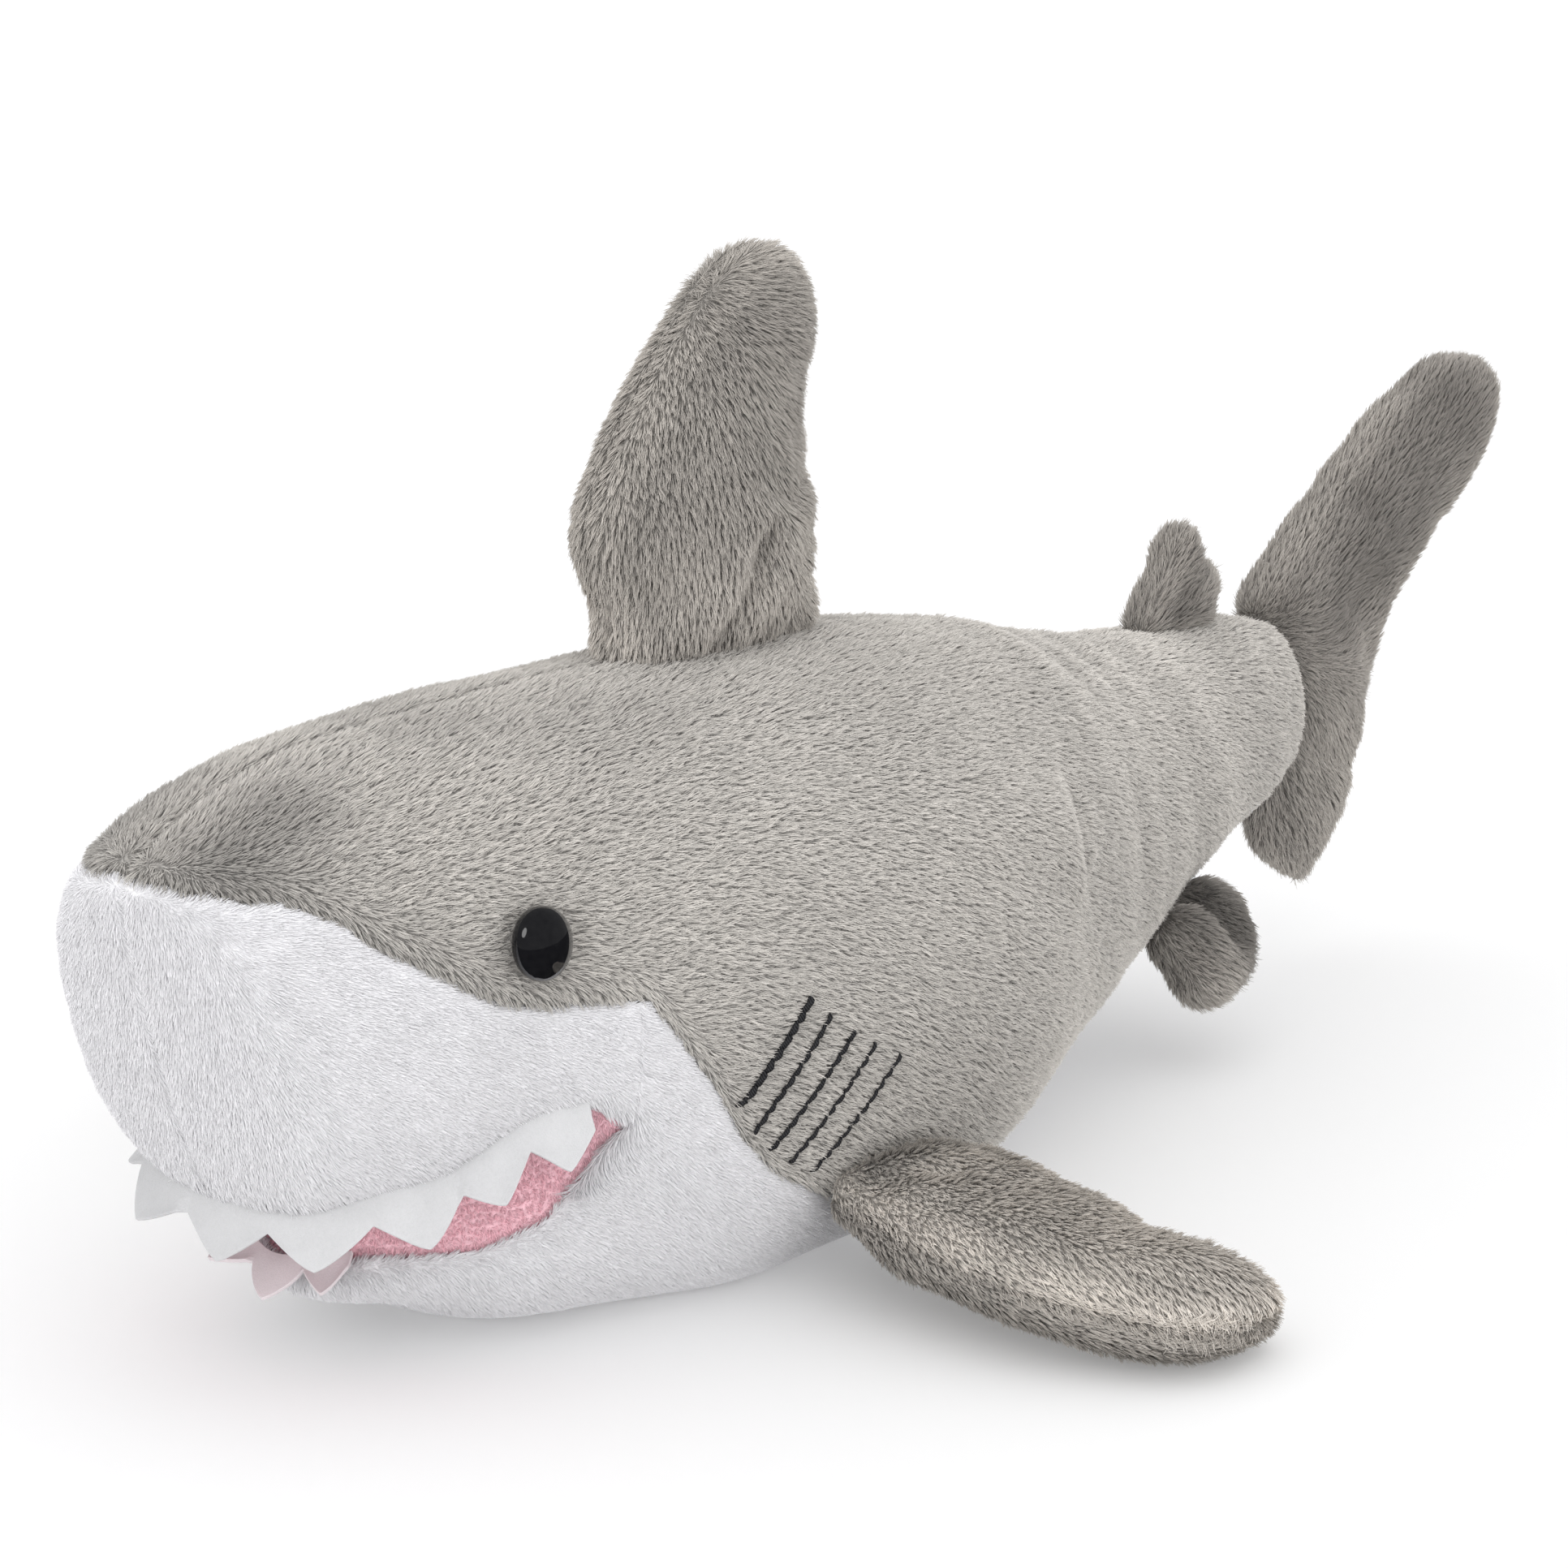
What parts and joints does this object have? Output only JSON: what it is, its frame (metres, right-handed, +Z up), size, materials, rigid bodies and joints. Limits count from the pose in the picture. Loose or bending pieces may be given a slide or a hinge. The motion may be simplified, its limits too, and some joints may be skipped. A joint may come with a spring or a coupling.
{
  "type": "plush shark",
  "caption": "Stuffed plush shark lying on its belly: grey pile back and fins, white snout and belly, open mouth with felt teeth, safety eyes and sewn gill lines.",
  "frame": {"origin": "on the ground, at the middle of the flat patch that the belly rests on, below the dorsal fin", "axes": "+Z up; +Y from the nose to the tail, the longest extent; +X to the shark's own left side"},
  "size_m": [0.2526, 0.3893, 0.1744],
  "materials": {
    "grey_plush": "short-pile plush, combed towards the tail",
    "fin_plush": "the same short-pile plush in a slightly darker shade",
    "white_plush": "very short brushed plush",
    "mouth_fabric": "thin brushed knit",
    "teeth_felt": "white felt, cut edges",
    "eye_plastic": "polished black",
    "washer_plastic": "moulded, uncoloured",
    "thread": "twisted embroidery thread, slight sheen",
    "stuffing": "loose polyester fibre filling"
  },
  "bodies": {
    "body": {"back_panel_left": "grey_plush", "back_panel_right": "grey_plush", "snout_panel_left": "white_plush", "snout_panel_right": "white_plush", "belly_panel": "white_plush", "mouth_lining": "mouth_fabric", "upper_teeth_strip": "teeth_felt", "lower_teeth_strip": "teeth_felt", "body_stuffing": "stuffing", "eye_left": "eye_plastic", "eye_right": "eye_plastic", "eye_washer_left": "washer_plastic", "eye_washer_right": "washer_plastic", "gill_stitch_left_1": "thread", "gill_stitch_left_2": "thread", "gill_stitch_left_3": "thread", "gill_stitch_left_4": "thread", "gill_stitch_left_5": "thread", "gill_stitch_right_1": "thread", "gill_stitch_right_2": "thread", "gill_stitch_right_3": "thread", "gill_stitch_right_4": "thread", "gill_stitch_right_5": "thread"},
    "dorsal_fin": {"dorsal_fin_panel_left": "fin_plush", "dorsal_fin_panel_right": "fin_plush", "dorsal_fin_stuffing": "stuffing"},
    "second_dorsal_fin": {"second_dorsal_fin_panel_left": "fin_plush", "second_dorsal_fin_panel_right": "fin_plush", "second_dorsal_fin_stuffing": "stuffing"},
    "tail_fin": {"tail_fin_panel_left": "fin_plush", "tail_fin_panel_right": "fin_plush", "tail_fin_stuffing": "stuffing"},
    "pectoral_fin_left": {"pectoral_left_panel_top": "fin_plush", "pectoral_left_panel_bottom": "fin_plush", "pectoral_left_stuffing": "stuffing"},
    "pelvic_fin_left": {"pelvic_left_panel_top": "fin_plush", "pelvic_left_panel_bottom": "fin_plush", "pelvic_left_stuffing": "stuffing"},
    "pectoral_fin_right": {"pectoral_right_panel_top": "fin_plush", "pectoral_right_panel_bottom": "fin_plush", "pectoral_right_stuffing": "stuffing"},
    "pelvic_fin_right": {"pelvic_right_panel_top": "fin_plush", "pelvic_right_panel_bottom": "fin_plush", "pelvic_right_stuffing": "stuffing"}
  },
  "joints": [
    {"name": "dorsal_fin_lean", "type": "hinge", "parent": "body", "child": "dorsal_fin", "pos_m": [0, -0.005, 0.1049], "axis": [0, 1, 0], "range_deg": [-35, 35]},
    {"name": "second_dorsal_fin_lean", "type": "hinge", "parent": "body", "child": "second_dorsal_fin", "pos_m": [0, 0.141, 0.0844], "axis": [0, 0.9968, -0.0797], "range_deg": [-35, 35]},
    {"name": "tail_swing", "type": "hinge", "parent": "body", "child": "tail_fin", "pos_m": [0, 0.1903, 0.052], "axis": [0, 0, 1], "range_deg": [-20, 50]},
    {"name": "pectoral_left_flap", "type": "hinge", "parent": "body", "child": "pectoral_fin_left", "pos_m": [0.0565, -0.016, 0.0155], "axis": [-0.0693, -0.9905, 0.1189], "range_deg": [0, 45]},
    {"name": "pectoral_right_flap", "type": "hinge", "parent": "body", "child": "pectoral_fin_right", "pos_m": [-0.0565, -0.016, 0.0155], "axis": [-0.0693, 0.9905, -0.1189], "range_deg": [0, 45]},
    {"name": "pelvic_left_flap", "type": "hinge", "parent": "body", "child": "pelvic_fin_left", "pos_m": [0.0245, 0.112, 0.0285], "axis": [0.2062, -0.9372, -0.2812], "range_deg": [-10, 40]},
    {"name": "pelvic_right_flap", "type": "hinge", "parent": "body", "child": "pelvic_fin_right", "pos_m": [-0.0245, 0.112, 0.0285], "axis": [0.2062, 0.9372, 0.2812], "range_deg": [-10, 40]}
  ]
}
